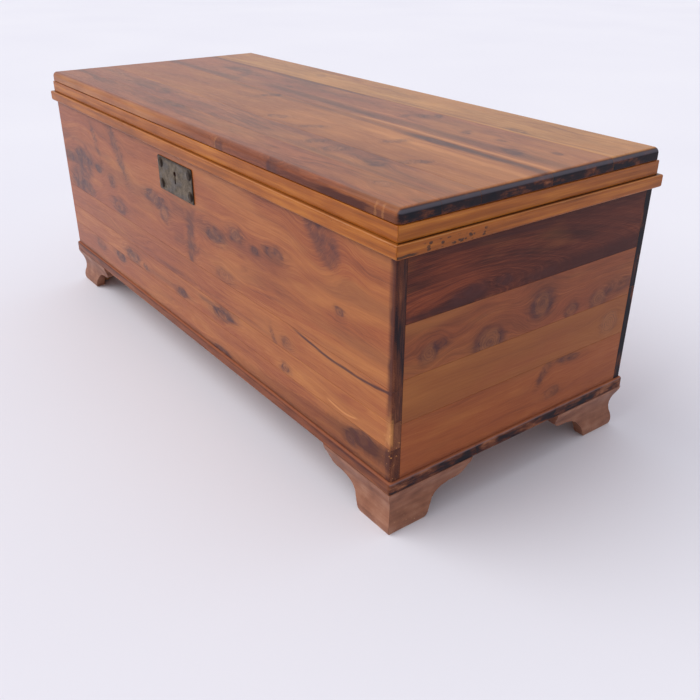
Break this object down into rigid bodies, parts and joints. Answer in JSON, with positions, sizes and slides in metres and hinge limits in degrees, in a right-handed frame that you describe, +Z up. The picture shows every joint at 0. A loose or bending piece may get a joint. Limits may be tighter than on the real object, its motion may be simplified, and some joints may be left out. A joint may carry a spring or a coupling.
{
  "type": "blanket chest",
  "caption": "Lidded cedar blanket chest with a banded rim, bracket feet, a front lock plate and a back-hinged lid held by a slotted stay.",
  "frame": {"origin": "middle of the footprint, on the floor", "axes": "+X along the chest to the right of someone facing its front, the front looks along -Y, +Z up"},
  "size_m": [1.166, 0.505, 0.4728],
  "materials": {
    "cedar": "satin lacquer over knotty red cedar",
    "light_wood": "satin lacquer over plain honey-coloured wood",
    "foot_wood": "worn lacquer",
    "hidden_wood": "bare wood",
    "aged_brass": "dull grey-green patina",
    "dark_brass": "dark patina",
    "steel": "dull"
  },
  "bodies": {
    "case": {"front_board_1": "cedar", "front_board_2": "cedar", "front_board_3": "cedar", "front_board_4": "cedar", "back_board_1": "cedar", "back_board_2": "cedar", "right_end_board_1": "cedar", "right_end_board_2": "cedar", "right_end_board_3": "cedar", "right_end_board_4": "cedar", "left_end_board_1": "cedar", "left_end_board_2": "cedar", "left_end_board_3": "cedar", "base_board_1": "cedar", "base_board_2": "cedar", "base_board_3": "cedar", "case_band_front": "light_wood", "case_band_right": "light_wood", "case_band_back": "light_wood", "case_band_left": "light_wood", "front_left_foot_long_bracket": "foot_wood", "front_left_foot_end_bracket": "foot_wood", "front_right_foot_long_bracket": "foot_wood", "front_right_foot_end_bracket": "foot_wood", "back_left_foot_long_bracket": "foot_wood", "back_left_foot_end_bracket": "foot_wood", "back_right_foot_long_bracket": "foot_wood", "back_right_foot_end_bracket": "foot_wood", "front_left_foot_block": "hidden_wood", "front_right_foot_block": "hidden_wood", "back_left_foot_block": "hidden_wood", "back_right_foot_block": "hidden_wood", "escutcheon": "aged_brass", "escutcheon_screw_top_left": "dark_brass", "escutcheon_screw_top_right": "dark_brass", "escutcheon_screw_bottom_left": "dark_brass", "escutcheon_screw_bottom_right": "dark_brass", "lock_case": "steel", "left_hinge_case_leaf": "steel", "right_hinge_case_leaf": "steel", "left_hinge_pin": "steel", "right_hinge_pin": "steel", "stay_wall_stud": "steel"},
    "lid": {"lid_board_1": "cedar", "lid_board_2": "cedar", "lid_board_3": "cedar", "lid_board_4": "cedar", "lid_board_5": "cedar", "lid_apron_front": "light_wood", "lid_apron_right": "light_wood", "lid_apron_back": "light_wood", "lid_apron_left": "light_wood", "lid_cleat_left": "hidden_wood", "lid_cleat_right": "hidden_wood", "lock_strike": "steel", "left_hinge_lid_leaf": "steel", "right_hinge_lid_leaf": "steel", "stay_lid_stud": "steel"},
    "stay_arm": {"stay_arm": "steel"},
    "lock_bolt": {"lock_bolt": "steel"}
  },
  "joints": [
    {"name": "lid_hinge", "type": "hinge", "parent": "case", "child": "lid", "pos_m": [0, 0.2493, 0.43325], "axis": [-1, 0, 0], "range_deg": [0, 100]},
    {"name": "stay_pivot", "type": "hinge", "parent": "lid", "child": "stay_arm", "pos_m": [0.555, 0.08961, 0.44325], "axis": [-1, 0, 0], "range_deg": [-51, 0]},
    {"name": "lock_bolt_slide", "type": "slide", "parent": "case", "child": "lock_bolt", "axis": [1, 0, 0], "range_m": [0, 0.006]}
  ],
  "couplings": [
    {"joint": "stay_pivot", "follows": "lid_hinge", "ratio": -0.5}
  ]
}
